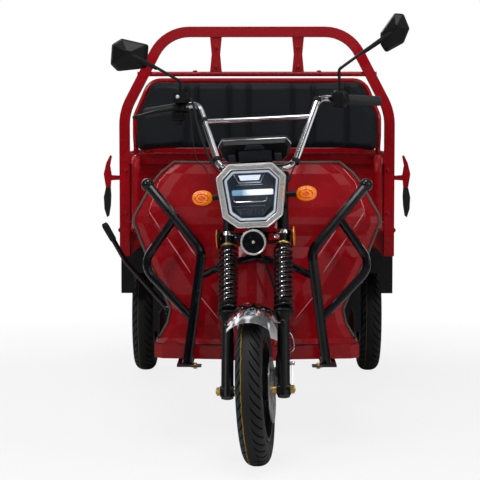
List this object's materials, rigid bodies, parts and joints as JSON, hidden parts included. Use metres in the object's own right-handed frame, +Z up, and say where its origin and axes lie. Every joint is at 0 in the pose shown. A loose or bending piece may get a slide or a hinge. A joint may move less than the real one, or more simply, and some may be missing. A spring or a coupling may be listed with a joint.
{
  "type": "electric cargo tricycle",
  "caption": "Electric cargo tricycle with a sprung steered front wheel, leg shield, bench seat and a drop-side load bed over a leaf-sprung rear axle.",
  "frame": {"origin": "on the ground under the middle of the overall length and width", "axes": "+X to the vehicle's left, +Y to its rear, +Z up"},
  "size_m": [1.148, 2.9886, 1.395],
  "materials": {
    "red_paint": "gloss",
    "black_paint": "gloss",
    "chrome": "polished",
    "tyre": "matte",
    "rubber": "matte",
    "black_plastic": "satin",
    "cast_black": "satin",
    "disc_steel": "brushed",
    "brass": "satin",
    "silver_trim": "brushed",
    "clear_lens": "clear",
    "amber_lens": "clear",
    "red_lens": "clear",
    "mirror_glass": "polished",
    "vinyl": "satin",
    "battery_case": "satin",
    "spring_steel": "satin",
    "motor_cast": "cast",
    "deck_steel": "satin"
  },
  "bodies": {
    "chassis": {"frame_neck": "black_paint", "leg_shield": "red_paint", "shield_trim": "rubber", "apron": "red_paint", "floor_plate": "rubber", "crash_bar": "black_paint", "crash_loops": "black_paint", "seat_box": "red_paint", "battery_pack": "battery_case", "seat_cushion": "vinyl", "arm_rails": "red_paint", "headboard_hoop": "red_paint", "backrest_tube": "red_paint", "backrest_pad": "vinyl", "control_levers": "black_paint", "bed_sills": "red_paint", "bed_bearers": "red_paint", "bed_floor": "deck_steel", "front_panel": "red_paint", "latches": "red_paint", "latch_grips": "rubber", "fenders": "black_plastic", "tail_lamps": "red_lens", "chassis_rails": "black_paint", "cross_members": "black_paint", "leaf_springs": "spring_steel", "spring_hangers": "red_paint", "rear_axle": "black_paint", "drive_motor": "motor_cast"},
    "steering": {"front_axle": "brass", "fork_sliders": "black_paint", "fork_tubes": "chrome", "fork_springs": "black_paint", "fork_clamps": "black_paint", "side_reflectors": "amber_lens", "front_fender": "chrome", "brake_caliper": "motor_cast", "handlebar": "chrome", "grips": "rubber", "controls": "black_plastic", "mirrors": "black_plastic", "mirror_glass": "mirror_glass", "instrument": "black_plastic", "headlight_bezel": "silver_trim", "headlight_lens": "clear_lens", "headlight_shell": "black_plastic", "turn_signals": "amber_lens", "horn": "black_plastic", "cables": "rubber"},
    "front_wheel": {"front_tyre": "tyre", "front_rim": "cast_black", "brake_disc": "disc_steel"},
    "rear_wheel_left": {"rear_left_rim": "black_paint", "rear_left_tyre": "tyre"},
    "rear_wheel_right": {"rear_right_rim": "black_paint", "rear_right_tyre": "tyre"},
    "side_left": {"side_board_left": "red_paint"},
    "side_right": {"side_board_right": "red_paint"},
    "tail_gate": {"tailgate": "red_paint"}
  },
  "joints": [
    {"name": "steering_turn", "type": "hinge", "parent": "chassis", "child": "steering", "pos_m": [0, -1.23824, 0.21397], "axis": [0, 0.4384, 0.8988], "range_deg": [-24.5, 37.5]},
    {"name": "front_wheel_spin", "type": "hinge", "parent": "steering", "child": "front_wheel", "pos_m": [-0.00362, -1.26682, 0.22791], "axis": [0.9936, -0.1017, 0.0496], "continuous": true},
    {"name": "rear_left_spin", "type": "hinge", "parent": "chassis", "child": "rear_wheel_left", "pos_m": [0.467, 0.733, 0.24], "axis": [1, 0, 0], "continuous": true},
    {"name": "rear_right_spin", "type": "hinge", "parent": "chassis", "child": "rear_wheel_right", "pos_m": [-0.467, 0.733, 0.24], "axis": [1, 0, 0], "continuous": true},
    {"name": "side_left_drop", "type": "hinge", "parent": "chassis", "child": "side_left", "pos_m": [0.526, 0.7, 0.626], "axis": [0, 1, 0], "range_deg": [0, 155]},
    {"name": "side_right_drop", "type": "hinge", "parent": "chassis", "child": "side_right", "pos_m": [-0.526, 0.7, 0.626], "axis": [0, -1, 0], "range_deg": [0, 155]},
    {"name": "tailgate_drop", "type": "hinge", "parent": "chassis", "child": "tail_gate", "pos_m": [0, 1.486, 0.626], "axis": [-1, 0, 0], "range_deg": [0, 170]}
  ]
}
